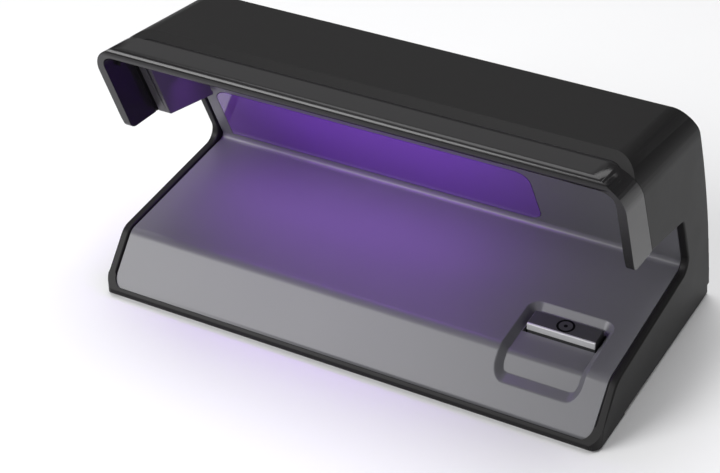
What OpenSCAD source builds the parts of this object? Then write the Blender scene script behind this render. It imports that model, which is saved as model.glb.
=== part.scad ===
// Ultraviolet banknote checker: a C-shaped table unit with a lamp in its hood,
// a bed for the notes, and a push button at the front of the bed.
// X runs along the length, -Y is the open front, +Z is up. The feet stand on Z = 0.

/* [Body] */
// Length of the case, left to right
length = 206; // [200:1:230]
// Depth of the case, front lip to back
depth = 110; // [110:1:114]
// Height of the hood's front edge above the table
height = 106; // [106:1:110]
// Wall of the moulded shell at the roof and the back
wall = 2.6; // [2.2:0.1:3]
// Wall of the shell at its two C-shaped sides
side_wall = 3.3; // [3:0.1:3.6]
// Radius of the hood's long edges at both sides
hood_corner_r = 13; // [12:0.5:15]
// Height that the rubber feet lift the case
foot_lift = 0.8; // [0.6:0.1:1]

/* [Hood] */
// Fall of the roof from its front edge to its back edge
roof_fall = 7.2; // [6:0.2:8]
// Depth of the bezel along the roof
bezel_depth = 15.2; // [14:0.2:16]
// Thickness of the bezel's front rim over the opening
bezel_rim = 4.6; // [4:0.1:5.2]
// Distance from the case side to the liner's cheek
cheek_inset = 9; // [8.5:0.1:9.5]

/* [Tray] */
// Thickness of the grey tray
tray_wall = 2.2; // [2:0.1:2.4]
// How far the tray lies below the shell's rim
tray_drop = 0.7; // [0.5:0.1:0.9]
// Depth of the pocket around the button
pocket_depth = 2.8; // [2.4:0.1:3]
// Centre of the button along the length, from the middle
button_x = 74.9; // [70:0.1:76]

/* [Button] */
// Width of the button along the length
button_w = 26.4; // [24:0.2:27]
// Depth of the button, front to back
button_d = 8; // [7:0.2:8.4]
// Travel of the button
button_travel = 1.5; // [1:0.1:1.6]
// Gap around the button
button_gap = 0.9; // [0.5:0.1:1]

/* [Lamp] */
// Radius of each of the two glass tubes
tube_r = 6; // [5.5:0.1:6.2]
// Distance between the axes of the two glass tubes
tube_pitch = 14.4; // [13:0.2:15]
// Length of the glass tubes
tube_len = 130; // [124:1:132]

/* [Hidden] */
$fn = 64;
half = length / 2;
front_y = -depth / 2;
back_y = depth / 2;
tiny = 0.01;
far = 200;

// The side outline's corners as [y, z, fillet radius]
roof_front = [front_y + 4.4, height + 0.45];
roof_back = [roof_front[0] + 69.2, height - roof_fall + 0.2];
roof_angle = atan2(-roof_fall, roof_back[0] - roof_front[0]);
parting_dir = unit([19.4, -42.8]);
parting_top = roof_front + bezel_depth * [cos(roof_angle), sin(roof_angle)];
parting_low = parting_top + 47 * parting_dir;
leg_low = [front_y + 22.8, 62.8];
throat_top = [front_y + 70.3, 56];
fold = [front_y + 83, 28.9];
bend = [front_y + 16, 22];
lip_top = [front_y, 2.9];
lip_wall = 1.1;
seam_back = [back_y - 0.3, 6.4];
seam_gap = 0.9;
skirt_inset = 0.5;
back_edge_r = 1;
rim_corner_r = 5.7;
seam_front = [front_y + 25, 1.7];
back_radius = 400;
back_centre = arc_centre(seam_back, roof_back, back_radius);
back_normal = unit(roof_back - back_centre);
back_way = cos(4) * [back_normal[1], -back_normal[0]] + sin(4) * back_normal;
column_angle = atan2(fold[0] - throat_top[0], throat_top[1] - fold[1]);
bed_angle = atan2(fold[1] - bend[1], fold[0] - bend[0]);
button_y = front_y + 34.3;

// Vector helpers
function unit(v) = v / norm(v);
function right_normal(a, b) = let (d = unit([b[0] - a[0], b[1] - a[1]])) [d[1], -d[0]];
function turn(a, b, c) = (b[0] - a[0]) * (c[1] - b[1]) - (b[1] - a[1]) * (c[0] - b[0]);
function flatten(lists) = [for (l = lists) for (p = l) p];
function reverse(list) = [for (i = [len(list) - 1 : -1 : 0]) list[i]];
function between(a, b, t) = a + (b - a) * t;

// Centre of the circle of radius r through a and b, on the left of the way from a to b
function arc_centre(a, b, r) =
    let (m = (a + b) / 2, h = norm(b - a) / 2)
    m - right_normal(a, b) * sqrt(r * r - h * h);

// Points of the fillet of radius r at corner q, between the sides towards p and s
function fillet(p, q, s, r, steps) =
    let (
        u = unit([p[0] - q[0], p[1] - q[1]]),
        w = unit([s[0] - q[0], s[1] - q[1]]),
        half_angle = acos(max(-1, min(1, u * w))) / 2,
        c = [q[0], q[1]] + unit(u + w) * r / sin(half_angle),
        t = r / tan(half_angle),
        from = [q[0], q[1]] + u * t - c,
        to = [q[0], q[1]] + w * t - c,
        a0 = atan2(from[1], from[0]),
        raw = atan2(to[1], to[0]) - a0,
        sweep = raw > 180 ? raw - 360 : raw < -180 ? raw + 360 : raw
    )
    [for (i = [0 : steps]) c + r * [cos(a0 + sweep * i / steps), sin(a0 + sweep * i / steps)]];

// A closed outline of [y, z, radius] corners, with each fillet turned into an arc
function rounded(c, steps = 8) =
    let (n = len(c))
    flatten([for (i = [0 : n - 1])
        let (q = c[i], r = len(q) > 2 ? q[2] : 0)
        r > 0 ? fillet(c[(i + n - 1) % n], q, c[(i + 1) % n], r, steps) : [[q[0], q[1]]]]);

// An open path moved to its right by t, with its radii kept concentric
function moved_path(p, t) =
    let (n = len(p))
    [for (i = [0 : n - 1])
        let (
            a = p[max(i - 1, 0)],
            b = p[i],
            c = p[min(i + 1, n - 1)],
            n1 = i == 0 ? right_normal(b, c) : right_normal(a, b),
            n2 = i == n - 1 ? n1 : right_normal(b, c),
            m = (n1 + n2) / (1 + n1 * n2),
            r = len(b) > 2 ? b[2] : 0,
            bent = i > 0 && i < n - 1 && r > 0,
            new_r = bent ? (turn(a, b, c) < 0 ? r - t : r + t) : 0
        )
        [b[0] + m[0] * t, b[1] + m[1] * t, max(new_r, 0)]];

// A strip of thickness t on the right of a path
function strip(p, t) = concat(p, reverse(moved_path(p, t)));

function with_r(p, r) = [p[0], p[1], r];

// Extrudes a [y, z] outline along X
module along_x(x0, x1) {
    translate([x0, 0, 0]) rotate([90, 0, 90]) linear_extrude(x1 - x0) children();
}

// Places children in the roof's own frame: Y runs back along the roof, Z is its normal
module in_roof() {
    translate([0, roof_front[0], roof_front[1]]) rotate([roof_angle, 0, 0]) children();
}

// Places children on the throat's back wall: Z runs up the wall, -Y points at the viewer
module on_column() {
    translate([0, fold[0], fold[1]]) rotate([column_angle, 0, 0]) children();
}

// Places children on the bed: Y runs back along the bed, Z is its normal
module on_bed() {
    translate([0, bend[0], bend[1]]) rotate([bed_angle, 0, 0]) children();
}

// A long block along the roof whose two upper edges are round
module roof_block(half_w, drop, r) {
    in_roof() translate([0, 140, 0]) rotate([90, 0, 0]) linear_extrude(180) union() {
        translate([-half_w, -far]) square([2 * half_w, far - drop - r]);
        translate([-half_w + r, -far]) square([2 * (half_w - r), far - drop]);
        for (s = [-1, 1]) translate([s * (half_w - r), -drop - r]) circle(r);
    }
}

// The curved back of the case, with round edges, as a sweep about the back's own centre
module back_block(half_w, inset, r) {
    edge = back_radius - inset;
    start = atan2(-back_centre[1] - 20, back_y - back_centre[0]);
    translate([0, back_centre[0], back_centre[1]]) rotate([90, 0, 90]) rotate([0, 0, start])
        rotate_extrude(angle = 22, $fn = 1440) union() {
            translate([edge - far, -half_w]) square([far - r, 2 * half_w]);
            translate([edge - far, -half_w + r]) square([far, 2 * (half_w - r)]);
            for (s = [-1, 1]) translate([edge - r, s * (half_w - r)]) circle(r, $fn = 48);
        }
}

// The footprint of the case with round front corners
module plan_block(half_w, y0, r) {
    linear_extrude(far) union() {
        translate([-half_w, y0 + r]) square([2 * half_w, far]);
        translate([-half_w + r, y0]) square([2 * (half_w - r), far]);
        for (s = [-1, 1]) translate([s * (half_w - r), y0 + r]) circle(r);
    }
}

// Outline of the case's C shape behind the parting line, down to the seam of the base plate
function shell_outline() = [
    [front_y, foot_lift, 1.2],
    [seam_front[0], foot_lift],
    seam_front,
    seam_back + [6, 0.3],
    roof_back + 40 * back_way,
    with_r(roof_back - 0.2 * [cos(roof_angle), sin(roof_angle)], 3.5),
    parting_top,
    parting_low,
    with_r(throat_top, 4),
    with_r(fold, 5),
    with_r(bend, 7),
    with_r(lip_top, 1.4)];

// Everything between the side walls except the roof, the back and the front lip
function shell_cavity() = [
    [front_y + lip_wall - 0.1, -tiny],
    [back_y + 20, -tiny],
    [back_y + 20, height + 20],
    [front_y - 20, height + 20],
    [front_y - 20, 20],
    [front_y + lip_wall - 0.1, 20]];

module case_envelope() {
    intersection() {
        roof_block(half, 0, hood_corner_r);
        back_block(half, 0, back_edge_r);
    }
}

module screw_boss(x, y, z0, z1) {
    translate([x, y, z0]) cylinder(r = 3.4, h = z1 - z0);
}

module pilot_hole(x, y, z0, z1) {
    translate([x, y, z0]) cylinder(r = 1.3, h = z1 - z0);
}

base_screw_x = half - 12;
front_screw_y = front_y + 24;
back_screw_y = back_y - 20;
plate_floor = 2;
inlet_x = -62;
inlet_z = 24;
inlet_back = 50.2;
inlet_lean = 19;

module at_inlet() {
    translate([inlet_x, inlet_back, inlet_z]) rotate([inlet_lean, 0, 0]) children();
}

module outer_shell() {
    color([0.13, 0.13, 0.14]) difference() {
        union() {
            difference() {
                intersection() {
                    along_x(-half, half) polygon(rounded(shell_outline()));
                    roof_block(half, 0, hood_corner_r);
                    back_block(half, 0, back_edge_r);
                    plan_block(half, front_y, 5);
                }
                intersection() {
                    along_x(-half + side_wall, half - side_wall) polygon(shell_cavity());
                    roof_block(half - side_wall, wall, hood_corner_r - side_wall);
                    back_block(half - side_wall, wall, 1.2);
                    plan_block(half - side_wall, front_y + lip_wall - 0.1, 4.2);
                }
            }
            for (s = [-1, 1]) {
                screw_boss(s * base_screw_x, back_screw_y, foot_lift + plate_floor + 0.2, 30);
                translate([s > 0 ? base_screw_x : -half + 1, back_screw_y - 1, 5])
                    cube([half - 1 - base_screw_x, 2, 24]);
                in_roof() translate([s * liner_screw_x, liner_screw_v, -ceiling_drop])
                    cylinder(r = 3, h = ceiling_drop - 1.2);
            }
        }
        for (s = [-1, 1]) {
            pilot_hole(s * base_screw_x, back_screw_y, 0, 14);
            in_roof() translate([s * liner_screw_x, liner_screw_v, -ceiling_drop - tiny])
                cylinder(r = 1.1, h = ceiling_drop - 1.1);
        }
        at_inlet() translate([-12.3, -20, -7.8]) cube([24.6, 40, 15.6]);
    }
}

// The bezel closes the hood's front: a roof band and a leg at each side
function bezel_outline() = [
    with_r(roof_front, 2.4),
    with_r(leg_low, 4.5),
    parting_low - [0.25, 0],
    parting_top - [0.25, 0]];

function bezel_hollow() = [
    roof_front + [3.2, 20],
    roof_front + [3.2, 20] + [50, -110],
    roof_front + [70, -110],
    roof_front + [70, 20]];

module front_bezel() {
    inner = half - side_wall;
    color([0.12, 0.12, 0.13]) {
        difference() {
            intersection() {
                along_x(-half, half) polygon(rounded(reverse(bezel_outline())));
                roof_block(half, 0, hood_corner_r);
            }
            roof_block(inner, bezel_rim, rim_corner_r);
            intersection() {
                roof_block(inner, wall, hood_corner_r - side_wall);
                along_x(-inner, inner) polygon(bezel_hollow());
            }
        }
        // tongue that slides under the shell's roof
        intersection() {
            difference() {
                roof_block(inner - 0.1, wall + 0.1, hood_corner_r - side_wall);
                roof_block(inner - 1.6, wall + 1.6, hood_corner_r - side_wall - 1.5);
            }
            along_x(-inner, inner) polygon([
                parting_top + [-3, 8],
                parting_top + [-3, -12],
                parting_top + [8, -12],
                parting_top + [4, 8]]);
        }
    }
}

// The tray's upper face from the front lip, over the bend and the fold, up into the hood
function tray_path() = moved_path([
    lip_top + [lip_wall, lip_wall * (bend[1] - lip_top[1]) / (bend[0] - lip_top[0])],
    with_r(bend, 7),
    with_r(fold, 1.5),
    between(fold, throat_top, 1.66)], tray_drop);

pocket_x0 = button_x - 17.2;
pocket_x1 = button_x + 16.4;
pocket_y0 = front_y + 8.2;
pocket_y1 = button_y + 9.6;
panel_left = -half + cheek_inset;
panel_right = 42;
panel_low = 2.4;
panel_high = 31.5;

// A block over the pocket's plan, with round corners
module pocket_plan(grow, r) {
    linear_extrude(60) polygon(rounded([
        [pocket_x0 - grow, pocket_y0 - grow, r],
        [pocket_x1 + grow, pocket_y0 - grow, r],
        [pocket_x1 + grow, pocket_y1 + grow, r],
        [pocket_x0 - grow, pocket_y1 + grow, r]]));
}

// The tray's upper face over the pocket: slope, bend arc and bed as functions of y
face_bend = tray_path()[1];
slope_angle = atan2(bend[1] - lip_top[1], bend[0] - lip_top[0]);
bend_reach = face_bend[2] * tan((slope_angle - bed_angle) / 2);
bend_centre = [face_bend[0], face_bend[1]]
    + bend_reach * [cos(bed_angle), sin(bed_angle)]
    + face_bend[2] * [sin(bed_angle), -cos(bed_angle)];
function face_angle(y) =
    y < face_bend[0] - bend_reach * cos(slope_angle) ? slope_angle :
    y > face_bend[0] + bend_reach * cos(bed_angle) ? bed_angle :
    asin((bend_centre[0] - y) / face_bend[2]);
function face_z(y) =
    let (a = face_angle(y))
    a == slope_angle || a == bed_angle
        ? face_bend[1] + (y - face_bend[0]) * tan(a)
        : bend_centre[1] + face_bend[2] * cos(a);

// Edge of the pocket in plan, anticlockwise, with the sides divided so that they follow the bend
side_steps = 14;
arc_steps = 6;
function pocket_edge(inset) =
    let (
        r = 5 - inset,
        x0 = pocket_x0 + inset + r,
        x1 = pocket_x1 - inset - r,
        y0 = pocket_y0 + inset + r,
        y1 = pocket_y1 - inset - r
    )
    concat(
        [for (i = [0 : side_steps]) [x1 + r, between(y0, y1, i / side_steps)]],
        [for (i = [1 : arc_steps]) [x1, y1] + r * [cos(90 * i / arc_steps), sin(90 * i / arc_steps)]],
        [for (i = [0 : arc_steps - 1]) [x0, y1] + r * [-sin(90 * i / arc_steps), cos(90 * i / arc_steps)]],
        [for (i = [0 : side_steps]) [x0 - r, between(y1, y0, i / side_steps)]],
        [for (i = [1 : arc_steps]) [x0, y0] - r * [cos(90 * i / arc_steps), sin(90 * i / arc_steps)]],
        [for (i = [0 : arc_steps - 1]) [x1, y0] + r * [sin(90 * i / arc_steps), -cos(90 * i / arc_steps)]]);

// Steps down the pocket's drafted wall as [inset, depth below the tray's face]
wall_steps = [[-0.6, -1.4], [-0.45, -0.1], [0.1, 0.1], [0.5, 0.45], [1.9, 2.15], [2.3, 2.5], [2.9, 3.3]];

module pocket_cutter() {
    rings = [for (w = wall_steps) [for (p = pocket_edge(w[0]))
        let (a = face_angle(p[1]))
        [p[0], p[1] + w[1] * sin(a), face_z(p[1]) - w[1] * cos(a)]]];
    count = len(rings[0]);
    last = len(rings) - 1;
    middle = [(pocket_x0 + pocket_x1) / 2, (pocket_y0 + pocket_y1) / 2];
    points = concat(flatten(rings), [[middle[0], middle[1], 40], [middle[0], middle[1], 5]]);
    top = len(points) - 2;
    walls = [for (k = [0 : last - 1], i = [0 : count - 1])
        let (
            a = k * count + i,
            b = k * count + (i + 1) % count,
            c = b + count,
            d = a + count
        )
        each [[a, b, c], [a, c, d]]];
    lid = [for (i = [0 : count - 1]) [top, (i + 1) % count, i]];
    base = [for (i = [0 : count - 1]) [top + 1, last * count + i, last * count + (i + 1) % count]];
    polyhedron(points, concat(walls, lid, base), convexity = 6);
}

module panel_plate(gap, y0, y1) {
    on_column() translate([0, y1, 0]) rotate([90, 0, 0]) linear_extrude(y1 - y0) polygon(rounded([
        [panel_left - gap, panel_low - gap, 0.5],
        [panel_right + 2 + gap, panel_low - gap, 5],
        [panel_right + gap, panel_high + gap, 6],
        [panel_left - gap, panel_high + gap, 6]]));
}

module tray() {
    w = half - side_wall - 0.2;
    color([0.42, 0.42, 0.45]) difference() {
        union() {
            intersection() {
                along_x(-w, w) polygon(rounded(strip(tray_path(), tray_wall)));
                plan_block(w, front_y + lip_wall, 4);
            }
            intersection() {
                along_x(pocket_x0 - 3, pocket_x1 + 3)
                    polygon(rounded(strip(moved_path(tray_path(), tiny), tray_wall + pocket_depth)));
                pocket_plan(2.6, 6);
            }
            for (s = [-1, 1])
                screw_boss(s * base_screw_x, front_screw_y, foot_lift + plate_floor + 0.2, 20);
        }
        intersection() {
            along_x(pocket_x0 - 2, pocket_x1 + 2)
                polygon(rounded(strip(moved_path(tray_path(), -3), 3 + pocket_depth)));
            pocket_cutter();
        }
        translate([button_x - button_w / 2 - button_gap, button_y - button_d / 2 - button_gap, 10])
            cube([button_w + 2 * button_gap, button_d + 2 * button_gap, 20]);
        panel_plate(0.15, tray_drop - 1, tray_drop + 1.3);
        // room for the base plate and the feet under the front slope
        translate([-half, front_y, -1]) cube([length, 30, 1 + foot_lift + plate_floor + 0.2]);
        for (s = [-1, 1]) pilot_hole(s * base_screw_x, front_screw_y, 0, 14);
    }
}

module window_panel() {
    color([0.10, 0.07, 0.16]) panel_plate(0, tray_drop, tray_drop + 1.2);
}

ceiling_drop = 3.6;
ceiling_wall = 1.5;
liner_screw_x = 87.3;
liner_screw_v = 62.6;

// Outline of a liner cheek: inside the hood, from the parting line back to the tray
function cheek_outline() =
    let (
        roof_line = moved_path([parting_top, roof_back], ceiling_drop + 2.6),
        top = [for (p = roof_line) [p[0], p[1]]],
        wall_line = moved_path([fold, between(fold, throat_top, 1.66)], 0.5)
    )
    [
        parting_low + [1.2, 0],
        between(parting_low, throat_top, 0.98),
        [wall_line[1][0], wall_line[1][1]],
        between(top[0], top[1], 0.86),
        top[0] + [7.5, -0.8],
        parting_low - 30 * parting_dir + [1.2, 0]
    ];

// Right half of the liner's upper channel as [x, depth below the roof], from the middle out and back
function liner_channel() =
    let (x = half - cheek_inset, top = -ceiling_drop, low = -ceiling_drop - ceiling_wall)
    [
        [x - 3.5, top],
        [x + 1.5, top - 2],
        [x + 1.5, low - 3.2],
        [x + 0.2, low - 3.2],
        [x + 0.2, low - 1.8],
        [x - 2.6, low]];

module hood_liner() {
    cheek = half - cheek_inset;
    skirt = half - side_wall - 0.2;
    color([0.22, 0.22, 0.24]) difference() {
        union() {
            for (s = [-1, 1]) {
                along_x(s > 0 ? cheek : -cheek - 1.6, s > 0 ? cheek + 1.6 : -cheek)
                    polygon(cheek_outline());
                along_x(s > 0 ? cheek : -skirt, s > 0 ? skirt : -cheek) polygon(rounded(strip([
                    between(parting_low, throat_top, 0.97),
                    parting_low + [1.2, 0]], 1.5)));
                along_x(s > 0 ? cheek : -skirt, s > 0 ? skirt : -cheek) polygon(rounded(strip([
                    parting_low + [1.2, 0],
                    parting_low + [1.2, 0] - 28 * parting_dir], 1.5)));
            }
            in_roof() translate([0, 66, 0]) rotate([90, 0, 0]) linear_extrude(41)
                polygon(concat(liner_channel(), reverse([for (p = liner_channel()) [-p[0], p[1]]])));
        }
        for (s = [-1, 1]) in_roof() translate([s * liner_screw_x, liner_screw_v, -12])
            cylinder(r = 1.5, h = 12);
    }
}

module base_plate() {
    inner = half - side_wall - 0.3;
    y0 = front_y + 4.2;
    y1 = back_y - 3.6;
    color([0.12, 0.12, 0.13]) difference() {
        union() {
            translate([0, 0, foot_lift]) linear_extrude(plate_floor) polygon(rounded([
                [-inner, y0, 5],
                [inner, y0, 5],
                [inner, y1, 3],
                [-inner, y1, 3]]));
            // side and back skirt under the shell's seam
            difference() {
                intersection() {
                    along_x(-half + skirt_inset, half - skirt_inset) polygon([
                        [seam_front[0] + 0.3, foot_lift],
                        [back_y, foot_lift],
                        [back_y, seam_back[1] - seam_gap],
                        seam_front + [0.3, -0.4]]);
                    back_block(half - skirt_inset, skirt_inset, back_edge_r);
                }
                translate([-inner + 2, front_y, foot_lift + plate_floor])
                    cube([2 * inner - 4, depth - 7, 20]);
            }
            for (x = [-74, 34], y = [-24, 14])
                translate([x, y, foot_lift]) {
                    cylinder(r = 2.6, h = 5.4);
                    cylinder(r = 1.1, h = 8.2);
                }
            for (x = switch_post_x, y = [button_y - 8, button_y + 8])
                translate([x, y, foot_lift]) {
                    cylinder(r = 2, h = switch_low - 1.6 - foot_lift);
                    cylinder(r = 0.8, h = switch_low + 0.8 - foot_lift);
                }
        }
        for (s = [-1, 1], y = [front_screw_y, back_screw_y]) {
            translate([s * base_screw_x, y, 0]) cylinder(r = 1.6, h = 20);
            translate([s * base_screw_x, y, 0]) cylinder(r = 3, h = foot_lift + 1);
        }
        for (s = [-1, 1], y = foot_rows)
            translate([s * foot_x, y, 0]) cylinder(r = 6.2, h = foot_lift + 0.8);
        translate([-32, -16, 0]) cube([64, 30, foot_lift + 0.3]);
    }
}

foot_x = half - 14;
foot_rows = [front_y + 11, back_y - 34];

module rubber_feet() {
    color([0.06, 0.06, 0.06]) for (s = [-1, 1], y = foot_rows) translate([s * foot_x, y, 0]) {
        cylinder(r1 = 5.2, r2 = 6, h = 0.5);
        translate([0, 0, 0.5]) cylinder(r = 6, h = foot_lift + 0.3);
    }
}

module rating_label() {
    color([0.75, 0.75, 0.77]) translate([-31, -15, foot_lift + 0.1]) cube([62, 28, 0.2]);
}

// Button: its top follows the bed, and it travels straight down
function bed_z(y) = bend[1] - tray_drop + (y - bend[0]) * tan(bed_angle);
cap_y0 = button_y - button_d / 2;
cap_y1 = button_y + button_d / 2;
cap_low = bed_z(cap_y0) - 5.4;
cap_rise = 0.25;
trim_h = 2.7;
stem_low = foot_lift + 11;

module button_cap() {
    x0 = button_x - button_w / 2;
    x1 = button_x + button_w / 2;
    color([0.30, 0.30, 0.32]) {
        difference() {
            along_x(x0, x1) polygon(rounded([
                [cap_y0 + 0.8, cap_low],
                [cap_y1, cap_low],
                [cap_y1, bed_z(cap_y1) + cap_rise, 0.5],
                [cap_y0 + 0.8, bed_z(cap_y0 + 0.8) + cap_rise]], 4));
            translate([x0 + 1.2, cap_y0 + 2, cap_low - 1])
                cube([button_w - 2.4, button_d - 3.2, 4.4]);
        }
        translate([button_x - 3, button_y - 2.2, cap_low]) cube([6, 4.4, 4]);
    }
}

module button_trim() {
    x0 = button_x - button_w / 2;
    color([0.80, 0.80, 0.82]) along_x(x0, x0 + button_w) polygon(rounded([
        [cap_y0, bed_z(cap_y0) + cap_rise - trim_h],
        [cap_y0 + 0.8, bed_z(cap_y0) + cap_rise - trim_h],
        [cap_y0 + 0.8, bed_z(cap_y0 + 0.8) + cap_rise],
        [cap_y0, bed_z(cap_y0) + cap_rise, 0.4]], 4));
}

switch_top = foot_lift + 12;
switch_low = foot_lift + 5.2;
switch_post_x = [button_x - 15, button_x + 8.5];

module switch_plunger() {
    color([0.85, 0.85, 0.80]) translate([button_x - 2, button_y - 2, stem_low])
        cube([4, 4, cap_low - stem_low]);
}

module switch_body() {
    color([0.08, 0.08, 0.09]) difference() {
        translate([button_x - 6, button_y - 6, switch_low]) cube([12, 12, switch_top - switch_low]);
        translate([button_x - 2.3, button_y - 2.3, switch_top - 4]) cube([4.6, 4.6, 5]);
    }
}

module switch_board() {
    color([0.10, 0.28, 0.16]) difference() {
        translate([button_x - 18, button_y - 11, switch_low - 1.6]) cube([29.5, 22, 1.6]);
        for (x = switch_post_x, y = [button_y - 8, button_y + 8])
            translate([x, y, switch_low - 3]) cylinder(r = 0.9, h = 4);
    }
}

// Sweeps a round section along a list of points
function path_dir(p, i) = unit(p[min(i + 1, len(p) - 1)] - p[max(i - 1, 0)]);
function ring(c, d, r, sides, side_ref) =
    let (
        u = unit(cross(side_ref, d)),
        v = cross(d, u)
    )
    [for (k = [0 : sides - 1]) c + r * (cos(360 * k / sides) * u + sin(360 * k / sides) * v)];

module sweep_tube(p, r, sides, side_ref) {
    n = len(p);
    points = flatten([for (i = [0 : n - 1]) ring(p[i], path_dir(p, i), r, sides, side_ref)]);
    walls = [for (i = [0 : n - 2], k = [0 : sides - 1])
        let (
            a = i * sides + k,
            b = i * sides + (k + 1) % sides,
            c = b + sides,
            d = a + sides
        )
        each [[a, d, c], [a, c, b]]];
    first = [for (k = [0 : sides - 1]) k];
    last = [for (k = [sides - 1 : -1 : 0]) (n - 1) * sides + k];
    polyhedron(points, concat(walls, [first, last]), convexity = 6);
}

spring_turns = 5;
spring_r = 3.7;
spring_wire = 0.35;
spring_steps = 14;

module button_spring() {
    z0 = switch_top + spring_wire;
    rise = cap_low - spring_wire - z0;
    color([0.75, 0.75, 0.77]) sweep_tube([for (i = [0 : spring_turns * spring_steps])
        let (a = 360 * i / spring_steps)
        [button_x + spring_r * cos(a), button_y + spring_r * sin(a),
            z0 + rise * i / (spring_turns * spring_steps)]], spring_wire, 6, [0, 0, 1]);
}

// Lamp, placed in the roof's frame: u along X, v back along the roof, w below it
lamp_v = 45;
lamp_w = -ceiling_drop - ceiling_wall - 9;
base_x = 46;
post_x = base_x + 26;

module in_lamp() {
    in_roof() translate([0, lamp_v, lamp_w]) children();
}

module uv_tube() {
    tip = base_x - tube_len;
    color([0.72, 0.62, 0.95, 0.9]) in_lamp() {
        for (s = [-1, 1]) translate([tip + tube_r, s * tube_pitch / 2, 0]) {
            rotate([0, 90, 0]) cylinder(r = tube_r, h = tube_len - tube_r + 3);
            sphere(tube_r);
        }
        translate([tip + 9, -tube_pitch / 2, 0]) rotate([-90, 0, 0]) cylinder(r = 3.4, h = tube_pitch);
    }
}

module tube_base() {
    color([0.90, 0.90, 0.88]) in_lamp() difference() {
        union() {
            along_x(base_x, post_x)
                polygon([[-11, -7], [14.4, -7], [14.4, 8], [-14.4, 8], [-14.4, -3]]);
            translate([post_x - tiny, -8, -5.5]) cube([9, 16, 11]);
            for (s = [-1, 1]) translate([post_x - tiny, s * 11.5, 0]) rotate([0, 90, 0])
                cylinder(r = 1.2, h = 7);
        }
        for (s = [-1, 1]) translate([base_x - tiny, s * tube_pitch / 2, 0]) rotate([0, 90, 0])
            cylinder(r = tube_r + 0.15, h = 3.2);
    }
}

module lamp_holder() {
    color([0.88, 0.88, 0.86]) in_lamp() difference() {
        along_x(post_x + 0.4, post_x + 18.4)
            polygon([[-10, -7], [14, -7], [14, 9], [-14, 9], [-14, -2.5]]);
        translate([post_x, -8.4, -5.9]) cube([10, 16.8, 11.8]);
        for (s = [-1, 1]) translate([post_x, s * 11.5, 0]) rotate([0, 90, 0])
            cylinder(r = 1.5, h = 8.4);
    }
}

clip_x = -66;

module tube_clip() {
    color([0.78, 0.79, 0.80]) in_lamp() difference() {
        union() {
            for (s = [-1, 1]) translate([clip_x - 4, s * tube_pitch / 2, 0]) rotate([0, 90, 0])
                difference() {
                    cylinder(r = tube_r + 0.9, h = 8);
                    translate([0, 0, -1]) cylinder(r = tube_r + 0.1, h = 10);
                }
            translate([clip_x - 4, -9, tube_r + 0.4]) cube([8, 18, 1.8]);
        }
        translate([clip_x - 5, -20, -20]) cube([10, 40, 17]);
    }
}

module reflector() {
    // a bent sheet under the liner's ceiling, open at the bottom
    color([0.86, 0.86, 0.88]) in_lamp() along_x(-83.5, base_x + 24) polygon(rounded(strip([
        [-18, 3],
        [-15.2, 8.2],
        [15.2, 8.2],
        [18, 3]], -0.8)));
}

board_top = foot_lift + 5.4 + 1.6;

module ballast_board() {
    color([0.10, 0.30, 0.17]) difference() {
        translate([-80, -30, foot_lift + 5.4]) cube([120, 50, 1.6]);
        for (x = [-74, 34], y = [-24, 14]) translate([x, y, 0]) cylinder(r = 1.2, h = 20);
    }
}

module ballast_choke() {
    color([0.70, 0.45, 0.16]) translate([-24, 0, board_top]) {
        translate([-9, -8, 0]) cube([18, 16, 3]);
        translate([0, 0, 3]) cylinder(r = 6.5, h = 6);
        translate([-9, -8, 9]) cube([18, 16, 2.5]);
    }
}

module ballast_capacitors() {
    color([0.16, 0.20, 0.35]) {
        translate([-56, 6, board_top]) cylinder(r = 5, h = 11);
        translate([-42, 6, board_top]) cylinder(r = 4, h = 10);
        translate([4, -4, board_top]) cube([13, 6, 9]);
        translate([4, 8, board_top]) cube([13, 6, 9]);
    }
}

module ballast_transistors() {
    color([0.05, 0.05, 0.06]) for (x = [-60, -46]) translate([x, -14, board_top]) {
        translate([-4, 0, 0]) cube([8, 3.2, 8]);
    }
}

pin_x = 4.3;

module power_inlet() {
    color([0.05, 0.05, 0.06]) at_inlet() difference() {
        translate([-12, -16, -7.5]) cube([24, 15.4, 15]);
        for (s = [-1, 1]) translate([s * pin_x, 1, 0]) rotate([90, 0, 0]) cylinder(r = 4.4, h = 12.6);
        translate([-pin_x, -11.6, -4.4]) cube([2 * pin_x, 12.6, 8.8]);
    }
}

module inlet_pins() {
    color([0.80, 0.80, 0.78]) at_inlet() for (s = [-1, 1]) translate([s * pin_x, -3, 0])
        rotate([90, 0, 0]) cylinder(r = 1.2, h = 8.6);
}

module cross_head_screw(z_head, head_r, head_h, shank_r, shank_l) {
    translate([0, 0, z_head]) difference() {
        cylinder(r = head_r, h = head_h);
        for (a = [0, 90]) rotate([0, 0, a]) translate([-head_r * 0.6, -0.35, -tiny])
            cube([head_r * 1.2, 0.7, head_h * 0.45]);
    }
    translate([0, 0, z_head + head_h - tiny]) cylinder(r = shank_r, h = shank_l);
}

module base_screws() {
    color([0.70, 0.70, 0.72]) for (s = [-1, 1], y = [front_screw_y, back_screw_y])
        translate([s * base_screw_x, y, 0]) cross_head_screw(0.3, 2.7, 1.4, 1.2, 11);
}

module liner_screws() {
    color([0.70, 0.70, 0.72]) in_roof() for (s = [-1, 1])
        translate([s * liner_screw_x, liner_screw_v, -ceiling_drop - ceiling_wall - 1.4])
            cross_head_screw(0, 2.6, 1.4, 1, 3.6);
}

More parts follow.
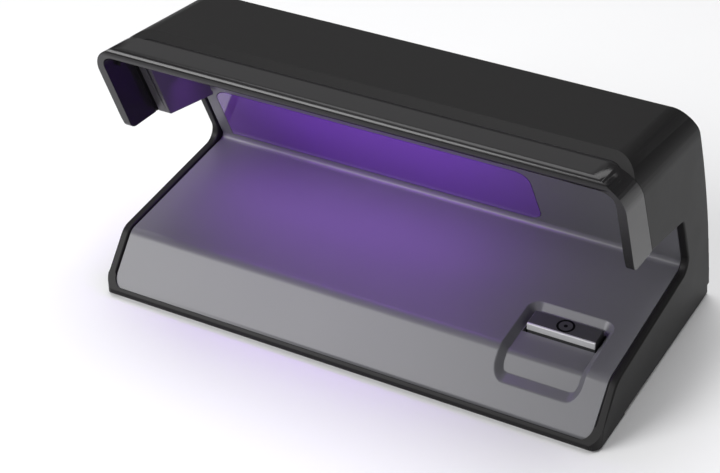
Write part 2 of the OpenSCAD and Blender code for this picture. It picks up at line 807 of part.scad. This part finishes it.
// Leads inside the case, as points chosen along their routes
lamp_route = [[84, 7.8, 84.4], [84, 9.5, 86.3], [84, 12, 85.8], [84, 14.5, 81], [85, 18, 72], [86, 23, 60],
    [86, 28, 48], [82, 33, 36], [74, 35, 22], [62, 30, 13], [50, 20, 9.6], [42, 8, 9.1], [38, 8, 9]];
inlet_route = [[-62, 34, 18.3], [-64, 31, 15], [-66, 26, 11.4], [-67, 21, 9.7], [-68, 16, 9.1]];
switch_route = [[60, -24, 7], [56, -24, 8.2], [50, -24, 9.2], [44, -23, 9.3], [39, -21, 9], [36, -20, 8.8]];

module lamp_wires() {
    color([0.85, 0.85, 0.82]) sweep_tube(lamp_route, 1.1, 8, [1, -1, 0]);
}

module inlet_wires() {
    color([0.45, 0.25, 0.15]) sweep_tube(inlet_route, 1.1, 8, [1, 0, 0]);
}

module switch_wires() {
    color([0.70, 0.10, 0.10]) sweep_tube(switch_route, 0.9, 8, [0, 1, 0]);
}

outer_shell();
front_bezel();
tray();
window_panel();
hood_liner();
base_plate();
button_cap();
button_trim();
switch_plunger();
button_spring();
switch_body();
switch_board();
uv_tube();
tube_base();
lamp_holder();
tube_clip();
reflector();
ballast_board();
ballast_choke();
ballast_capacitors();
ballast_transistors();
power_inlet();
inlet_pins();
rubber_feet();
base_screws();
liner_screws();
lamp_wires();
inlet_wires();
switch_wires();
rating_label();
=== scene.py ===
"""Ultraviolet banknote checker: finishes, detailed pieces, floor, lights and camera."""

import math

import bpy
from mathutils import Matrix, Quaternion, Vector


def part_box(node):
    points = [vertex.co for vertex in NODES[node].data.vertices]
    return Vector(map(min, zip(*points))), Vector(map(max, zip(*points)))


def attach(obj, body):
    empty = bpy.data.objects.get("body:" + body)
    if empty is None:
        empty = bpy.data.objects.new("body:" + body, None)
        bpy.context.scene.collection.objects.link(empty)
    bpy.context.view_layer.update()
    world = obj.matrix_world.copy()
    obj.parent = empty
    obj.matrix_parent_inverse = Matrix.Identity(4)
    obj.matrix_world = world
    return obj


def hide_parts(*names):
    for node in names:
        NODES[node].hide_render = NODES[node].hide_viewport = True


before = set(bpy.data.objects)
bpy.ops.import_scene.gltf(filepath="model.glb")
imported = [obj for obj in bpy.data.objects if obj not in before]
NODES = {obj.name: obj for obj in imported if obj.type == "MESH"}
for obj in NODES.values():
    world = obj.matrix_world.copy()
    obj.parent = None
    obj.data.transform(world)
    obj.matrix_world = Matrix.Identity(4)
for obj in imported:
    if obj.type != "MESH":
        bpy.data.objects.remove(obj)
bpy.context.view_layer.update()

bl_info = {
    "name": "Banknote Checker",
    "version": (1, 0, 0),
    "blender": (4, 5, 0),
    "location": "3D View > Sidebar > Checker",
    "description": "Builds the looks of an ultraviolet banknote checker around its CAD frame",
    "category": "Object",
}

CASE = "case"
BUTTON = "power_button"
MM = 0.001
# Vertices closer than this are one vertex, and faces within this many degrees are one face
MERGE = 2e-6
FLAT = 0.5
# Slope of the note bed and of the button's top, as an angle and as rise over depth
BED_SLOPE = math.radians(5.879)
BED_RISE = math.tan(BED_SLOPE)
# The shell's rims are rounded this far in from each side, above its foot and below its roof
RIM_DEPTH = 4.0 * MM
FOOT_HEIGHT = 7 * MM
ROOF_DEPTH = 16 * MM
# Lengths, in bevel radii, that a sharp edge at a corner and a smooth edge need beside a bevel
CORNER_ROOM = 2.2
EDGE_ROOM = 1.6
BEVEL_STEPS = 3
# Relief of the plastic's grain and of the metal's drawn streaks
GRAIN_RELIEF = 0.00004
STREAK_RELIEF = 0.00003
PLASTIC_IOR = 1.48
# Painted glow of the window panel, standing in for the lamp's light on it: its colour at its left
# and right ends, and at fractions of its length between them
WINDOW_PAINTED_GLOW_ENDS = ((0.034, 0.014, 0.050), (0.020, 0.010, 0.042))
WINDOW_PAINTED_GLOW_TONES = ((0.30, (0.042, 0.010, 0.110)), (0.70, (0.046, 0.013, 0.120)),
                (0.92, (0.028, 0.012, 0.070)))
# Share of the window's painted glow that is left at its foot, a painted shade towards the bottom
WINDOW_PAINTED_FOOT_SHADE = 0.45
# Each studio light: name, place, size, and the stage setting that holds its power
LIGHTS = (("Key", (-0.75, -1.05, 0.85), (0.8, 0.6), "key"),
          ("Fill", (0.95, -0.75, 0.55), (0.7, 0.6), "fill"),
          ("Top", (-0.1, 0.25, 1.30), (1.2, 0.9), "top"),
          ("Back panel", (-0.95, 1.45, 1.05), (1.7, 1.2), "back"))
LIGHT_TARGET = (0, 0, 0.05)
# The light under the tube: how far left of the tube's middle and below it, where it aims behind
# the tube and above the table, its size and its spread
GLOW_LEFT = 0.012
GLOW_BELOW = 0.003
GLOW_BEHIND = 0.010
GLOW_HEIGHT = 0.020
GLOW_SIZE = (0.125, 0.016)
GLOW_SPREAD = math.radians(105.0)
FLOOR_SIZE = 12.0
SENSOR_WIDTH = 36.0


# ---------------------------------------------------------------- settings

def colour(name, description, value):
    return bpy.props.FloatVectorProperty(
        name=name, description=description, subtype="COLOR", size=3, min=0.0, max=1.0,
        default=value)


def length(name, description, value):
    return bpy.props.FloatProperty(name=name, description=description, subtype="DISTANCE",
                                   unit="LENGTH", min=0.0, precision=5, default=value)


class CheckerColours(bpy.types.PropertyGroup):
    case: colour("Case", "Black of the moulded shell", (0.0058, 0.0054, 0.0056))
    bezel: colour("Bezel", "Black of the glossy front bezel", (0.0100, 0.0094, 0.0102))
    tray: colour("Tray", "Grey of the note bed", (0.118, 0.118, 0.128))
    window: colour("Window", "Dark violet of the filter panel", (0.090, 0.040, 0.200))
    liner: colour("Liner", "Grey inside the hood", (0.075, 0.070, 0.080))
    button: colour("Button", "Grey of the push button", (0.046, 0.046, 0.049))
    glow: colour("Glow", "Violet light of the lamp", (0.42, 0.10, 1.0))


class CheckerSizes(bpy.types.PropertyGroup):
    edge: length("Edge", "Radius of the moulded edges", 0.35 * MM)
    rim: length("Rim", "Radius of the side walls' rims", 0.8 * MM)
    button_edge: length("Button edge", "Radius of the button's edges", 0.35 * MM)
    ring_outer: length("Ring", "Outer radius of the mark on the button", 3.4 * MM)
    ring_stroke: length("Stroke", "Line width of the mark on the button", 0.85 * MM)
    ring_dot: length("Dot", "Radius of the dot in the mark", 0.75 * MM)
    ink: length("Ink", "Thickness of the printed mark", 0.04 * MM)


class CheckerStage(bpy.types.PropertyGroup):
    lens: bpy.props.FloatProperty(name="Lens", description="Focal length of the camera",
                                  subtype="DISTANCE_CAMERA", unit="CAMERA", default=95.67)
    azimuth: bpy.props.FloatProperty(name="Azimuth", description="Camera angle round the object",
                                     default=29.095)
    elevation: bpy.props.FloatProperty(name="Elevation", description="Camera angle above the table",
                                       default=33.427)
    roll: bpy.props.FloatProperty(name="Roll", description="Camera tilt about its own axis",
                                  default=-0.481)
    distance: length("Distance", "Camera distance from its target", 0.7117)
    target: bpy.props.FloatVectorProperty(name="Target", description="Point the camera looks at",
                                          subtype="TRANSLATION", size=3,
                                          default=(-0.00999, -0.01785, 0.03373))
    ambient: bpy.props.FloatProperty(name="Ambient", description="Strength of the pale surround",
                                     default=0.12)
    key: bpy.props.FloatProperty(name="Key light", description="Power of the front light in watts",
                                 default=18.0)
    fill: bpy.props.FloatProperty(name="Fill light",
                                  description="Power of the right light in watts",
                                  default=2.2)
    top: bpy.props.FloatProperty(name="Top light",
                                 description="Power of the overhead light in watts",
                                 default=14.0)
    back: bpy.props.FloatProperty(name="Back panel", description="Power of the rear left panel",
                                  default=2.2)
    glow: bpy.props.FloatProperty(name="Lamp glow",
                                  description="Power that the lamp throws on the bed",
                                  default=0.032)
    lamp: bpy.props.FloatProperty(name="Lamp", description="Brightness of the lit tube",
                                  default=1.7)
    # Strength of the window panel's painted glow, which stands in for the lamp's light on it
    window: bpy.props.FloatProperty(name="Window", description="Brightness of the lit filter panel",
                                    default=1.0)


def settings(group):
    return getattr(bpy.context.scene, group)


# ---------------------------------------------------------------- node helpers

def add(tree, kind, **values):
    node = tree.nodes.new(kind)
    for key, value in values.items():
        if hasattr(node, key):
            setattr(node, key, value)
        else:
            node.inputs[key.replace("_", " ")].default_value = value
    return node


def new_group(name, ins, outs):
    tree = bpy.data.node_groups.new(name, "ShaderNodeTree")
    kinds = {"f": "NodeSocketFloat", "c": "NodeSocketColor", "v": "NodeSocketVector"}
    for label, kind, value in ins:
        socket = tree.interface.new_socket(label, in_out="INPUT", socket_type=kinds[kind])
        if value is not None:
            socket.default_value = value
    for label, kind in outs:
        tree.interface.new_socket(label, in_out="OUTPUT", socket_type=kinds[kind])
    return tree, tree.nodes.new("NodeGroupInput"), tree.nodes.new("NodeGroupOutput")


def moulded_grain():
    """Fine spark-eroded grain of moulded plastic, with faint flow and handling marks."""
    name = "Moulded grain"
    if name in bpy.data.node_groups:
        return bpy.data.node_groups[name]
    tree, entry, leave = new_group(
        name,
        [("Vector", "v", None), ("Colour", "c", (0.5, 0.5, 0.5, 1.0)), ("Roughness", "f", 0.4),
         ("Grain", "f", 0.3), ("Variation", "f", 0.1)],
        [("Colour", "c"), ("Roughness", "f"), ("Normal", "v")])
    link = tree.links.new
    fine = add(tree, "ShaderNodeTexNoise", Scale=2600.0, Detail=2.0, Roughness=0.6)
    broad = add(tree, "ShaderNodeTexNoise", Scale=38.0, Detail=4.0, Roughness=0.6)
    link(entry.outputs["Vector"], fine.inputs["Vector"])
    link(entry.outputs["Vector"], broad.inputs["Vector"])

    shade = add(tree, "ShaderNodeMapRange", To_Min=-1.0, To_Max=1.0)
    link(broad.outputs["Fac"], shade.inputs["Value"])
    amount = add(tree, "ShaderNodeMath", operation="MULTIPLY")
    link(shade.outputs["Result"], amount.inputs[0])
    link(entry.outputs["Variation"], amount.inputs[1])

    gain = add(tree, "ShaderNodeMath", operation="ADD")
    gain.inputs[1].default_value = 1.0
    link(amount.outputs[0], gain.inputs[0])
    tint = add(tree, "ShaderNodeVectorMath", operation="SCALE")
    link(entry.outputs["Colour"], tint.inputs[0])
    link(gain.outputs[0], tint.inputs["Scale"])
    link(tint.outputs[0], leave.inputs["Colour"])

    rough = add(tree, "ShaderNodeMath", operation="MULTIPLY_ADD")
    rough.inputs[1].default_value = 0.35
    link(amount.outputs[0], rough.inputs[0])
    link(entry.outputs["Roughness"], rough.inputs[2])
    link(rough.outputs[0], leave.inputs["Roughness"])

    bump = add(tree, "ShaderNodeBump", Distance=GRAIN_RELIEF)
    link(entry.outputs["Grain"], bump.inputs["Strength"])
    link(fine.outputs["Fac"], bump.inputs["Height"])
    link(bump.outputs["Normal"], leave.inputs["Normal"])
    return tree


def start_material(name):
    material = bpy.data.materials.new(name)
    material.use_nodes = True
    tree = material.node_tree
    shader = tree.nodes["Principled BSDF"]
    place = add(tree, "ShaderNodeTexCoord")
    return material, tree, shader, place


def plastic(name, base, rough=0.4, grain=0.3, variation=0.06, coat=0.0, coat_rough=0.1,
            gloss=0.5):
    """Moulded plastic whose colour, gloss and bump come from the grain group."""
    material, tree, shader, place = start_material(name)
    group = add(tree, "ShaderNodeGroup")
    group.node_tree = moulded_grain()
    group.inputs["Colour"].default_value = (*base, 1.0)
    group.inputs["Roughness"].default_value = rough
    group.inputs["Grain"].default_value = grain
    group.inputs["Variation"].default_value = variation
    link = tree.links.new
    link(place.outputs["Object"], group.inputs["Vector"])
    link(group.outputs["Colour"], shader.inputs["Base Color"])
    link(group.outputs["Roughness"], shader.inputs["Roughness"])
    link(group.outputs["Normal"], shader.inputs["Normal"])
    shader.inputs["IOR"].default_value = PLASTIC_IOR
    shader.inputs["Specular IOR Level"].default_value = gloss
    shader.inputs["Coat Weight"].default_value = coat
    shader.inputs["Coat Roughness"].default_value = coat_rough
    return material


def metal(name, base, rough=0.25, streak=(1.0, 30.0, 30.0), variation=0.06, metallic=1.0):
    """Metal with fine drawn streaks in its roughness and bump."""
    material, tree, shader, place = start_material(name)
    link = tree.links.new
    stretch = add(tree, "ShaderNodeMapping")
    stretch.inputs["Scale"].default_value = streak
    noise = add(tree, "ShaderNodeTexNoise", Scale=60.0, Detail=5.0)
    link(place.outputs["Object"], stretch.inputs["Vector"])
    link(stretch.outputs[0], noise.inputs["Vector"])
    spread = add(tree, "ShaderNodeMapRange", To_Min=rough - variation, To_Max=rough + variation)
    link(noise.outputs["Fac"], spread.inputs["Value"])
    link(spread.outputs["Result"], shader.inputs["Roughness"])
    bump = add(tree, "ShaderNodeBump", Strength=0.15, Distance=STREAK_RELIEF)
    link(noise.outputs["Fac"], bump.inputs["Height"])
    link(bump.outputs["Normal"], shader.inputs["Normal"])
    shader.inputs["Base Color"].default_value = (*base, 1.0)
    shader.inputs["Metallic"].default_value = metallic
    return material


def dress(names, material):
    for name in names:
        mesh = NODES[name].data
        mesh.materials.clear()
        mesh.materials.append(material)


# ---------------------------------------------------------------- modelling helpers

def cap_height(y):
    """Height of the button's sloping top at that depth, from its highest points."""
    verts = [v.co for v in NODES["button_cap"].data.vertices]
    top = max(verts, key=lambda co: co.z)
    return top.z - (top.y - y) * BED_RISE


def clear_selection():
    if bpy.context.mode != "OBJECT":
        bpy.ops.object.mode_set(mode="OBJECT")
    bpy.ops.object.select_all(action="DESELECT")


def pick(obj):
    clear_selection()
    obj.select_set(True)
    bpy.context.view_layer.objects.active = obj


def firm_edges(mesh, radius, angle, keep):
    """Sharp edges that are clear of small facets, so that rounding them can't fold the surface."""
    normals = {}
    for poly in mesh.polygons:
        for key in poly.edge_keys:
            normals.setdefault(key, []).append(poly.normal)
    sharp, around = set(), {}
    for edge in mesh.edges:
        sides = normals.get(edge.key, [])
        start, end = (mesh.vertices[i].co for i in edge.vertices)
        if len(sides) == 2 and sides[0].angle(sides[1], 0.0) > angle:
            sharp.add(edge.index)
        for vertex in edge.vertices:
            around.setdefault(vertex, []).append((edge.index, (end - start).length))
    clear = {}
    for vertex, rows in around.items():
        corner = sum(1 for index, size in rows if index in sharp) > 2
        clear[vertex] = all(size > (CORNER_ROOM * radius if corner else 0.0) if index in sharp
                            else size > EDGE_ROOM * radius for index, size in rows)
    return [edge.index for edge in mesh.edges if edge.index in sharp
            and all(clear[v] and keep(mesh.vertices[v].co) for v in edge.vertices)]


def softened(node, radius, material, body=CASE, angle=30.0, keep=lambda place: True):
    """A copy of a CAD node with its doubles merged and its sharp edges rounded."""
    mesh = NODES[node].data.copy()
    piece = bpy.data.objects.new(node + "_soft", mesh)
    mesh.name = piece.name
    bpy.context.scene.collection.objects.link(piece)
    pick(piece)
    bpy.ops.object.mode_set(mode="EDIT")
    bpy.ops.mesh.select_mode(type="EDGE")
    bpy.ops.mesh.select_all(action="SELECT")
    bpy.ops.mesh.remove_doubles(threshold=MERGE)
    bpy.ops.mesh.dissolve_limited(angle_limit=math.radians(FLAT))
    bpy.ops.mesh.select_all(action="DESELECT")
    bpy.ops.object.mode_set(mode="OBJECT")
    mesh.normals_split_custom_set([(0.0, 0.0, 0.0)] * len(mesh.loops))
    for index in firm_edges(mesh, radius, math.radians(angle), keep):
        mesh.edges[index].select = True
    bpy.ops.object.mode_set(mode="EDIT")
    bpy.ops.mesh.bevel(offset=radius, segments=BEVEL_STEPS, profile=0.5, clamp_overlap=False,
                       affect="EDGES")
    bpy.ops.object.mode_set(mode="OBJECT")
    bpy.ops.object.shade_smooth_by_angle(angle=math.radians(angle))
    weighted = piece.modifiers.new("Even faces", "WEIGHTED_NORMAL")
    weighted.keep_sharp = True
    bpy.ops.object.modifier_apply(modifier=weighted.name)
    mesh.materials.clear()
    mesh.materials.append(material)
    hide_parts(node)
    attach(piece, body)
    return piece


# ---------------------------------------------------------------- operators

class CHECKER_OT_case(bpy.types.Operator):
    """Give the black shell, bezel and base plate their moulded finish"""
    bl_idname = "checker.case"
    bl_label = "Case"

    def execute(self, context):
        tones = settings("checker_colours")
        sizes = settings("checker_sizes")
        black = plastic("Case black", tones.case, rough=0.50, grain=0.35, variation=0.12,
                        gloss=0.24)
        shiny = plastic("Bezel black", tones.bezel, rough=0.24, grain=0.06, variation=0.06,
                        gloss=0.34)
        low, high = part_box("outer_shell")
        side, foot, roof = high.x - RIM_DEPTH, low.z + FOOT_HEIGHT, high.z - ROOF_DEPTH
        softened("outer_shell", sizes.rim, black,
                 keep=lambda place: abs(place.x) > side and foot < place.z < roof)
        softened("base_plate", sizes.edge * 0.7, black)
        softened("front_bezel", sizes.edge, shiny,
                 keep=lambda place: place.z < roof)
        return {"FINISHED"}


class CHECKER_OT_tray(bpy.types.Operator):
    """Finish the grey note bed, the violet window panel with its painted glow, and the hood's liner
    """
    bl_idname = "checker.tray"
    bl_label = "Note bed"

    def execute(self, context):
        tones = settings("checker_colours")
        edge = settings("checker_sizes").edge
        softened("tray", edge * 0.8, plastic("Tray grey", tones.tray, rough=0.38, grain=0.22,
                                             variation=0.05, gloss=0.45))
        dress(["window_panel"], self.painted_glow_window())
        softened("hood_liner", edge * 0.8, plastic("Liner grey", tones.liner, rough=0.45,
                                                   grain=0.3))
        return {"FINISHED"}

    def painted_glow_window(self):
        """Violet filter glass whose emission is painted light from the lamp: brightest at its top,
        darker to its right end.
        """
        tones, stage = settings("checker_colours"), settings("checker_stage")
        material = plastic("Window violet", tones.window, rough=0.10, grain=0.0, variation=0.02,
                           coat=0.6, coat_rough=0.03)
        tree = material.node_tree
        link = tree.links.new
        low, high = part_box("window_panel")
        place = add(tree, "ShaderNodeTexCoord")
        parts = add(tree, "ShaderNodeSeparateXYZ")
        link(place.outputs["Object"], parts.inputs[0])
        along = add(tree, "ShaderNodeMapRange", From_Min=low.x, From_Max=high.x)
        link(parts.outputs["X"], along.inputs["Value"])
        painted_glow_ramp = add(tree, "ShaderNodeValToRGB")
        ramp = painted_glow_ramp.color_ramp
        for element, position, tone in zip(ramp.elements, (0.0, 1.0), WINDOW_PAINTED_GLOW_ENDS):
            element.position, element.color = position, (*tone, 1.0)
        for position, tone in WINDOW_PAINTED_GLOW_TONES:
            ramp.elements.new(position).color = (*tone, 1.0)
        link(along.outputs["Result"], painted_glow_ramp.inputs["Fac"])
        # Painted shade: the painted glow is weaker towards the window's foot
        painted_foot_shade = add(tree, "ShaderNodeMapRange", From_Min=low.z, From_Max=high.z, To_Min=WINDOW_PAINTED_FOOT_SHADE,
                 To_Max=1.0)
        link(parts.outputs["Z"], painted_foot_shade.inputs["Value"])
        lit = add(tree, "ShaderNodeVectorMath", operation="SCALE")
        link(painted_glow_ramp.outputs["Color"], lit.inputs[0])
        link(painted_foot_shade.outputs["Result"], lit.inputs["Scale"])
        shader = tree.nodes["Principled BSDF"]
        # The window's emission is painted lamp light, not a lamp of its own
        link(lit.outputs[0], shader.inputs["Emission Color"])
        shader.inputs["Emission Strength"].default_value = stage.window
        return material


class CHECKER_OT_button(bpy.types.Operator):
    """Finish the push button, its bright trim, and print the ring and dot on it"""
    bl_idname = "checker.button"
    bl_label = "Button"

    def execute(self, context):
        tones = settings("checker_colours")
        edge = settings("checker_sizes").button_edge
        grey = plastic("Button grey", tones.button, rough=0.48, grain=0.25, gloss=0.22)
        bright = metal("Bright trim", (0.60, 0.60, 0.61), rough=0.42, metallic=0.35)
        softened("button_cap", edge, grey, body=BUTTON)
        softened("button_trim", edge * 0.5, bright, body=BUTTON)
        self.printed_mark()
        return {"FINISHED"}

    def printed_mark(self):
        sizes = settings("checker_sizes")
        low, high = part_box("button_cap")
        centre = (low + high) / 2
        top = cap_height(centre.y)
        clear_selection()
        bpy.ops.mesh.primitive_circle_add(vertices=72, radius=sizes.ring_outer,
                                          fill_type="NOTHING")
        mark = bpy.context.active_object
        mark.name = "button_mark"
        bpy.ops.object.mode_set(mode="EDIT")
        bpy.ops.mesh.select_all(action="SELECT")
        bpy.ops.mesh.extrude_edges_move()
        inner = 1.0 - sizes.ring_stroke / sizes.ring_outer
        bpy.ops.transform.resize(value=(inner, inner, 1.0))
        bpy.ops.mesh.select_all(action="DESELECT")
        bpy.ops.mesh.primitive_circle_add(vertices=48, radius=sizes.ring_dot, fill_type="NGON")
        bpy.ops.mesh.select_all(action="SELECT")
        bpy.ops.mesh.normals_make_consistent(inside=False)
        bpy.ops.mesh.extrude_region_move(TRANSFORM_OT_translate={"value": (0, 0, sizes.ink)})
        bpy.ops.mesh.select_all(action="SELECT")
        bpy.ops.mesh.normals_make_consistent(inside=False)
        bpy.ops.object.mode_set(mode="OBJECT")
        mark.rotation_euler = (BED_SLOPE, 0.0, 0.0)
        mark.location = (centre.x, centre.y, top - sizes.ink / 2)
        bpy.ops.object.transform_apply(location=True, rotation=True, scale=True)
        mark.data.materials.append(plastic("Mark ink", (0.002, 0.002, 0.002), rough=0.6, grain=0.0,
                                           gloss=0.05))
        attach(mark, BUTTON)


class CHECKER_OT_works(bpy.types.Operator):
    """Finish the lamp, reflector, ballast, switch, inlet, leads, feet and screws"""
    bl_idname = "checker.works"
    bl_label = "Lamp and works"

    def execute(self, context):
        tones = settings("checker_colours")
        stage = settings("checker_stage")
        white = plastic("Thermoset white", (0.62, 0.60, 0.55), rough=0.4, grain=0.15)
        black = plastic("Switch black", (0.012, 0.012, 0.013), rough=0.35, grain=0.2)
        steel = metal("Plated steel", (0.62, 0.62, 0.64), rough=0.28)
        dress(["tube_base", "lamp_holder", "switch_plunger"], white)
        dress(["switch_body", "ballast_transistors", "power_inlet"], black)
        dress(["button_spring", "tube_clip", "base_screws", "liner_screws", "inlet_pins"], steel)
        dress(["reflector"], metal("Reflector sheet", (0.82, 0.82, 0.85), rough=0.22))
        dress(["ballast_board", "switch_board"],
              plastic("Board green", (0.012, 0.085, 0.030), rough=0.3, grain=0.1, coat=0.4))
        dress(["ballast_choke"], metal("Enamelled copper", (0.62, 0.26, 0.08), rough=0.3,
                                       streak=(6.0, 6.0, 300.0)))
        dress(["ballast_capacitors"], plastic("Capacitor sleeve", (0.018, 0.035, 0.14), rough=0.22,
                                              grain=0.05, coat=0.5))
        dress(["rubber_feet"], plastic("Foot rubber", (0.010, 0.010, 0.010), rough=0.75, grain=0.6))
        dress(["lamp_wires"], plastic("Lead white", (0.60, 0.58, 0.52), rough=0.4, grain=0.1))
        dress(["inlet_wires"], plastic("Lead brown", (0.14, 0.05, 0.015), rough=0.4, grain=0.1))
        dress(["switch_wires"], plastic("Lead red", (0.40, 0.01, 0.01), rough=0.4, grain=0.1))
        dress(["rating_label"], plastic("Label foil", (0.48, 0.48, 0.50), rough=0.35, grain=0.1))

        glass = plastic("Tube glass", (0.16, 0.09, 0.45), rough=0.12, grain=0.0, coat=1.0,
                        coat_rough=0.03)
        shader = glass.node_tree.nodes["Principled BSDF"]
        shader.inputs["Emission Color"].default_value = (*tones.glow, 1.0)
        shader.inputs["Emission Strength"].default_value = stage.lamp
        dress(["uv_tube"], glass)
        return {"FINISHED"}


class CHECKER_OT_stage(bpy.types.Operator):
    """Lay the pale floor and set the soft lights and the camera"""
    bl_idname = "checker.stage"
    bl_label = "Floor, lights and camera"

    def area(self, name, location, target, size, power, tone=(1.0, 1.0, 1.0)):
        light = bpy.data.lights.new(name, "AREA")
        light.shape = "RECTANGLE"
        light.size, light.size_y = size
        light.energy = power
        light.color = tone
        lamp = bpy.data.objects.new(name, light)
        lamp.location = location
        aim = Vector(target) - Vector(location)
        lamp.rotation_euler = aim.to_track_quat("-Z", "Y").to_euler()
        bpy.context.scene.collection.objects.link(lamp)
        return lamp

    def execute(self, context):
        stage = settings("checker_stage")
        scene = context.scene
        clear_selection()
        bpy.ops.mesh.primitive_plane_add(size=FLOOR_SIZE, location=(0.0, 0.0, 0.0))
        floor = context.active_object
        floor.name = "floor"
        material, _, shader, _ = start_material("Pale floor")
        shader.inputs["Base Color"].default_value = (0.86, 0.86, 0.87, 1.0)
        shader.inputs["Roughness"].default_value = 0.55
        floor.data.materials.append(material)

        world = bpy.data.worlds.new("Studio")
        world.use_nodes = True
        sky = world.node_tree.nodes["Background"].inputs
        sky["Color"].default_value = (1.0, 1.0, 1.0, 1.0)
        sky["Strength"].default_value = stage.ambient
        scene.world = world
        scene.view_settings.view_transform = "Standard"

        for name, place, size, power in LIGHTS:
            self.area(name, place, LIGHT_TARGET, size, getattr(stage, power))

        low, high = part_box("uv_tube")
        centre = (low + high) / 2
        glow = self.area("Lamp glow", (centre.x - GLOW_LEFT, centre.y, low.z - GLOW_BELOW),
                         (centre.x - GLOW_LEFT, centre.y + GLOW_BEHIND, GLOW_HEIGHT), GLOW_SIZE,
                         stage.glow, tone=settings("checker_colours").glow)
        glow.data.spread = GLOW_SPREAD

        a, e, r = (math.radians(v) for v in (stage.azimuth, stage.elevation, stage.roll))
        back = Vector((math.sin(a) * math.cos(e), -math.cos(a) * math.cos(e), math.sin(e)))
        data = bpy.data.cameras.new("Camera")
        data.lens = stage.lens
        data.sensor_width = SENSOR_WIDTH
        data.clip_start, data.clip_end = 0.01, 50.0
        camera = bpy.data.objects.new("Camera", data)
        camera.location = Vector(stage.target) + back * stage.distance
        camera.rotation_mode = "QUATERNION"
        camera.rotation_quaternion = (-back).to_track_quat("-Z", "Y") @ Quaternion((0, 0, 1), r)
        scene.collection.objects.link(camera)
        scene.camera = camera
        return {"FINISHED"}


class CHECKER_PT_panel(bpy.types.Panel):
    """Builds the banknote checker piece by piece"""
    bl_idname = "CHECKER_PT_panel"
    bl_label = "Banknote Checker"
    bl_space_type = "VIEW_3D"
    bl_region_type = "UI"
    bl_category = "Checker"

    def draw(self, context):
        for operator in OPERATORS:
            self.layout.operator(operator.bl_idname)


OPERATORS = (CHECKER_OT_case, CHECKER_OT_tray, CHECKER_OT_button, CHECKER_OT_works,
             CHECKER_OT_stage)
GROUPS = {"checker_colours": CheckerColours, "checker_sizes": CheckerSizes,
          "checker_stage": CheckerStage}


def register():
    for name, group in GROUPS.items():
        bpy.utils.register_class(group)
        setattr(bpy.types.Scene, name, bpy.props.PointerProperty(type=group))
    for operator in OPERATORS:
        bpy.utils.register_class(operator)
    bpy.utils.register_class(CHECKER_PT_panel)


def unregister():
    bpy.utils.unregister_class(CHECKER_PT_panel)
    for operator in reversed(OPERATORS):
        bpy.utils.unregister_class(operator)
    for name, group in GROUPS.items():
        delattr(bpy.types.Scene, name)
        bpy.utils.unregister_class(group)


def main():
    register()
    bpy.ops.checker.case()
    bpy.ops.checker.tray()
    bpy.ops.checker.button()
    bpy.ops.checker.works()
    bpy.ops.checker.stage()


if __name__ == "__main__":
    main()
